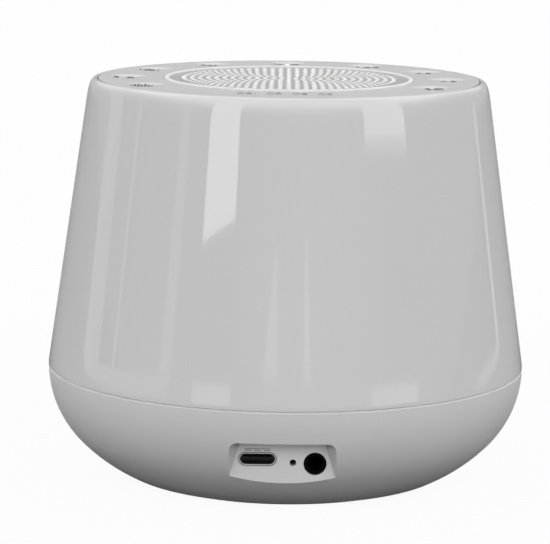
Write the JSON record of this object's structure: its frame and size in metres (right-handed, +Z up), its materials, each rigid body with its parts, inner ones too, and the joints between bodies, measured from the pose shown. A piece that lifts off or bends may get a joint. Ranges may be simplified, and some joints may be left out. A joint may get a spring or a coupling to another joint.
{
  "type": "white noise machine",
  "caption": "Round tabletop white noise machine: glossy tapered shell on a bowl base, perforated speaker grille ringed by dished keys, charging and audio sockets at the rear.",
  "frame": {"origin": "on the table, under the centre of the foot ring", "axes": "+Z up, -Y out of the rear, where the sockets are; +X to the right as seen from the rear"},
  "size_m": [0.12, 0.12, 0.1005],
  "materials": {
    "shell_gloss": "gloss",
    "base_matt": "fine matt",
    "deck_matt": "fine matt",
    "foot_rubber": "matt",
    "black_cloth": "woven",
    "black_plastic": "satin",
    "plunger_plastic": "satin",
    "board_green": "solder mask",
    "board_white": "solder mask",
    "inner_plastic": "satin",
    "lamp_resin": "satin",
    "smoked_resin": "smoked lens",
    "foam_black": "foam",
    "pressed_steel": "painted",
    "plated_steel": "bright plated",
    "magnet_metal": "nickel plated",
    "coil_copper": "enamelled wire",
    "cone_paper": "pressed paper",
    "roll_rubber": "satin",
    "spider_cloth": "impregnated cloth",
    "cell_wrap": "shrink sleeve",
    "screw_steel": "zinc plated"
  },
  "bodies": {
    "housing": {"upper_shell": "shell_gloss", "base_shell": "base_matt", "foot_ring": "foot_rubber", "control_deck": "deck_matt", "speaker_grille": "deck_matt", "grille_cloth": "black_cloth", "tact_switches": "black_plastic", "key_board": "board_green", "speaker_tower": "inner_plastic", "lamp_board": "board_white", "lamps": "lamp_resin", "speaker_gasket": "foam_black", "speaker_basket": "pressed_steel", "magnet_cup": "plated_steel", "magnet": "magnet_metal", "pole_plate": "plated_steel", "surround": "roll_rubber", "spider": "spider_cloth", "usb_shell": "plated_steel", "usb_tongue": "black_plastic", "audio_jack": "black_plastic", "charge_lamp": "smoked_resin", "main_board": "board_green", "board_chips": "black_plastic", "lead_sockets": "inner_plastic", "battery_cell": "cell_wrap", "battery_strap": "inner_plastic", "case_screws": "screw_steel", "deck_screws": "screw_steel", "speaker_screws": "screw_steel", "board_screws": "screw_steel", "strap_screws": "screw_steel"},
    "key_volume_down": {"key_volume_down": "deck_matt", "plunger_volume_down": "plunger_plastic"},
    "key_volume_up": {"key_volume_up": "deck_matt", "plunger_volume_up": "plunger_plastic"},
    "key_track_next": {"key_track_next": "deck_matt", "plunger_track_next": "plunger_plastic"},
    "key_power": {"key_power": "deck_matt", "plunger_power": "plunger_plastic"},
    "key_track_back": {"key_track_back": "deck_matt", "plunger_track_back": "plunger_plastic"},
    "key_lamp": {"key_lamp": "deck_matt", "plunger_lamp": "plunger_plastic"},
    "key_lamp_dim": {"key_lamp_dim": "deck_matt", "plunger_lamp_dim": "plunger_plastic"},
    "key_sound": {"key_sound": "deck_matt", "plunger_sound": "plunger_plastic"},
    "key_timer": {"key_timer": "deck_matt", "plunger_timer": "plunger_plastic"},
    "cone_coil": {"voice_coil": "coil_copper", "speaker_cone": "cone_paper", "dust_cap": "cone_paper"}
  },
  "joints": [
    {"name": "key_volume_down_press", "type": "slide", "parent": "housing", "child": "key_volume_down", "axis": [0, 0, -1], "range_m": [0, 0.0005], "stiffness_N_per_m": 500},
    {"name": "key_volume_up_press", "type": "slide", "parent": "housing", "child": "key_volume_up", "axis": [0, 0, -1], "range_m": [0, 0.0005], "stiffness_N_per_m": 500},
    {"name": "key_track_next_press", "type": "slide", "parent": "housing", "child": "key_track_next", "axis": [0, 0, -1], "range_m": [0, 0.0005], "stiffness_N_per_m": 500},
    {"name": "key_power_press", "type": "slide", "parent": "housing", "child": "key_power", "axis": [0, 0, -1], "range_m": [0, 0.0005], "stiffness_N_per_m": 500},
    {"name": "key_track_back_press", "type": "slide", "parent": "housing", "child": "key_track_back", "axis": [0, 0, -1], "range_m": [0, 0.0005], "stiffness_N_per_m": 500},
    {"name": "key_lamp_press", "type": "slide", "parent": "housing", "child": "key_lamp", "axis": [0, 0, -1], "range_m": [0, 0.0005], "stiffness_N_per_m": 500},
    {"name": "key_lamp_dim_press", "type": "slide", "parent": "housing", "child": "key_lamp_dim", "axis": [0, 0, -1], "range_m": [0, 0.0005], "stiffness_N_per_m": 500},
    {"name": "key_sound_press", "type": "slide", "parent": "housing", "child": "key_sound", "axis": [0, 0, -1], "range_m": [0, 0.0005], "stiffness_N_per_m": 500},
    {"name": "key_timer_press", "type": "slide", "parent": "housing", "child": "key_timer", "axis": [0, 0, -1], "range_m": [0, 0.0005], "stiffness_N_per_m": 500},
    {"name": "cone_stroke", "type": "slide", "parent": "housing", "child": "cone_coil", "axis": [0, 0, 1], "range_m": [-0.0008, 0.0008], "stiffness_N_per_m": 1500, "deforming": ["surround", "spider"]}
  ]
}
